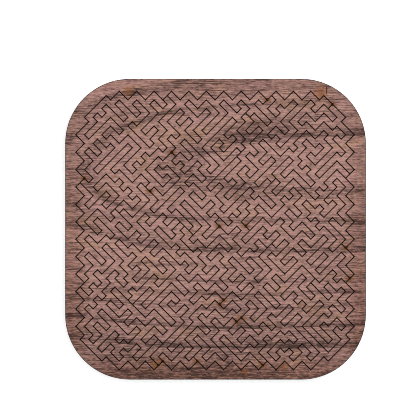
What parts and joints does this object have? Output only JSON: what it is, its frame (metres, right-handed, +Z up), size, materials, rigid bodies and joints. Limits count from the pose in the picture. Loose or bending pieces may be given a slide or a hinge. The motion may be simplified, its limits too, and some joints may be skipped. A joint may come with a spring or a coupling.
{
  "type": "wooden tray puzzle",
  "caption": "Flat wooden tray puzzle: loose winding finger pieces, cut on a diagonal grid, fill a zigzag pocket in a rounded square tray.",
  "frame": {"origin": "centre of the tray's underside", "axes": "+Z up, out of the tray's face; +X along the wood grain, to the right as the puzzle is viewed; +Y away from the viewer, to the top of the pattern"},
  "size_m": [0.15, 0.15, 0.0063],
  "materials": {
    "base_walnut": "matte",
    "frame_walnut": "matte",
    "piece_walnut": "matte"
  },
  "bodies": {
    "tray": {"base_board": "base_walnut", "tray_frame": "frame_walnut"},
    "piece_01": {"piece_01": "piece_walnut"},
    "piece_02": {"piece_02": "piece_walnut"},
    "piece_03": {"piece_03": "piece_walnut"},
    "piece_04": {"piece_04": "piece_walnut"},
    "piece_05": {"piece_05": "piece_walnut"},
    "piece_06": {"piece_06": "piece_walnut"},
    "piece_07": {"piece_07": "piece_walnut"},
    "piece_08": {"piece_08": "piece_walnut"},
    "piece_09": {"piece_09": "piece_walnut"},
    "piece_10": {"piece_10": "piece_walnut"},
    "piece_11": {"piece_11": "piece_walnut"},
    "piece_12": {"piece_12": "piece_walnut"},
    "piece_13": {"piece_13": "piece_walnut"},
    "piece_14": {"piece_14": "piece_walnut"},
    "piece_15": {"piece_15": "piece_walnut"},
    "piece_16": {"piece_16": "piece_walnut"},
    "piece_17": {"piece_17": "piece_walnut"},
    "piece_18": {"piece_18": "piece_walnut"},
    "piece_19": {"piece_19": "piece_walnut"},
    "piece_20": {"piece_20": "piece_walnut"},
    "piece_21": {"piece_21": "piece_walnut"},
    "piece_22": {"piece_22": "piece_walnut"},
    "piece_23": {"piece_23": "piece_walnut"},
    "piece_24": {"piece_24": "piece_walnut"},
    "piece_25": {"piece_25": "piece_walnut"},
    "piece_26": {"piece_26": "piece_walnut"},
    "piece_27": {"piece_27": "piece_walnut"},
    "piece_28": {"piece_28": "piece_walnut"}
  },
  "joints": [
    {"name": "piece_01_lift", "type": "slide", "parent": "tray", "child": "piece_01", "axis": [0, 0, 1], "range_m": [0, 0.012]},
    {"name": "piece_02_lift", "type": "slide", "parent": "tray", "child": "piece_02", "axis": [0, 0, 1], "range_m": [0, 0.012]},
    {"name": "piece_03_lift", "type": "slide", "parent": "tray", "child": "piece_03", "axis": [0, 0, 1], "range_m": [0, 0.012]},
    {"name": "piece_04_lift", "type": "slide", "parent": "tray", "child": "piece_04", "axis": [0, 0, 1], "range_m": [0, 0.012]},
    {"name": "piece_05_lift", "type": "slide", "parent": "tray", "child": "piece_05", "axis": [0, 0, 1], "range_m": [0, 0.012]},
    {"name": "piece_06_lift", "type": "slide", "parent": "tray", "child": "piece_06", "axis": [0, 0, 1], "range_m": [0, 0.012]},
    {"name": "piece_07_lift", "type": "slide", "parent": "tray", "child": "piece_07", "axis": [0, 0, 1], "range_m": [0, 0.012]},
    {"name": "piece_08_lift", "type": "slide", "parent": "tray", "child": "piece_08", "axis": [0, 0, 1], "range_m": [0, 0.012]},
    {"name": "piece_09_lift", "type": "slide", "parent": "tray", "child": "piece_09", "axis": [0, 0, 1], "range_m": [0, 0.012]},
    {"name": "piece_10_lift", "type": "slide", "parent": "tray", "child": "piece_10", "axis": [0, 0, 1], "range_m": [0, 0.012]},
    {"name": "piece_11_lift", "type": "slide", "parent": "tray", "child": "piece_11", "axis": [0, 0, 1], "range_m": [0, 0.012]},
    {"name": "piece_12_lift", "type": "slide", "parent": "tray", "child": "piece_12", "axis": [0, 0, 1], "range_m": [0, 0.012]},
    {"name": "piece_13_lift", "type": "slide", "parent": "tray", "child": "piece_13", "axis": [0, 0, 1], "range_m": [0, 0.012]},
    {"name": "piece_14_lift", "type": "slide", "parent": "tray", "child": "piece_14", "axis": [0, 0, 1], "range_m": [0, 0.012]},
    {"name": "piece_15_lift", "type": "slide", "parent": "tray", "child": "piece_15", "axis": [0, 0, 1], "range_m": [0, 0.012]},
    {"name": "piece_16_lift", "type": "slide", "parent": "tray", "child": "piece_16", "axis": [0, 0, 1], "range_m": [0, 0.012]},
    {"name": "piece_17_lift", "type": "slide", "parent": "tray", "child": "piece_17", "axis": [0, 0, 1], "range_m": [0, 0.012]},
    {"name": "piece_18_lift", "type": "slide", "parent": "tray", "child": "piece_18", "axis": [0, 0, 1], "range_m": [0, 0.012]},
    {"name": "piece_19_lift", "type": "slide", "parent": "tray", "child": "piece_19", "axis": [0, 0, 1], "range_m": [0, 0.012]},
    {"name": "piece_20_lift", "type": "slide", "parent": "tray", "child": "piece_20", "axis": [0, 0, 1], "range_m": [0, 0.012]},
    {"name": "piece_21_lift", "type": "slide", "parent": "tray", "child": "piece_21", "axis": [0, 0, 1], "range_m": [0, 0.012]},
    {"name": "piece_22_lift", "type": "slide", "parent": "tray", "child": "piece_22", "axis": [0, 0, 1], "range_m": [0, 0.012]},
    {"name": "piece_23_lift", "type": "slide", "parent": "tray", "child": "piece_23", "axis": [0, 0, 1], "range_m": [0, 0.012]},
    {"name": "piece_24_lift", "type": "slide", "parent": "tray", "child": "piece_24", "axis": [0, 0, 1], "range_m": [0, 0.012]},
    {"name": "piece_25_lift", "type": "slide", "parent": "tray", "child": "piece_25", "axis": [0, 0, 1], "range_m": [0, 0.012]},
    {"name": "piece_26_lift", "type": "slide", "parent": "tray", "child": "piece_26", "axis": [0, 0, 1], "range_m": [0, 0.012]},
    {"name": "piece_27_lift", "type": "slide", "parent": "tray", "child": "piece_27", "axis": [0, 0, 1], "range_m": [0, 0.012]},
    {"name": "piece_28_lift", "type": "slide", "parent": "tray", "child": "piece_28", "axis": [0, 0, 1], "range_m": [0, 0.012]}
  ]
}
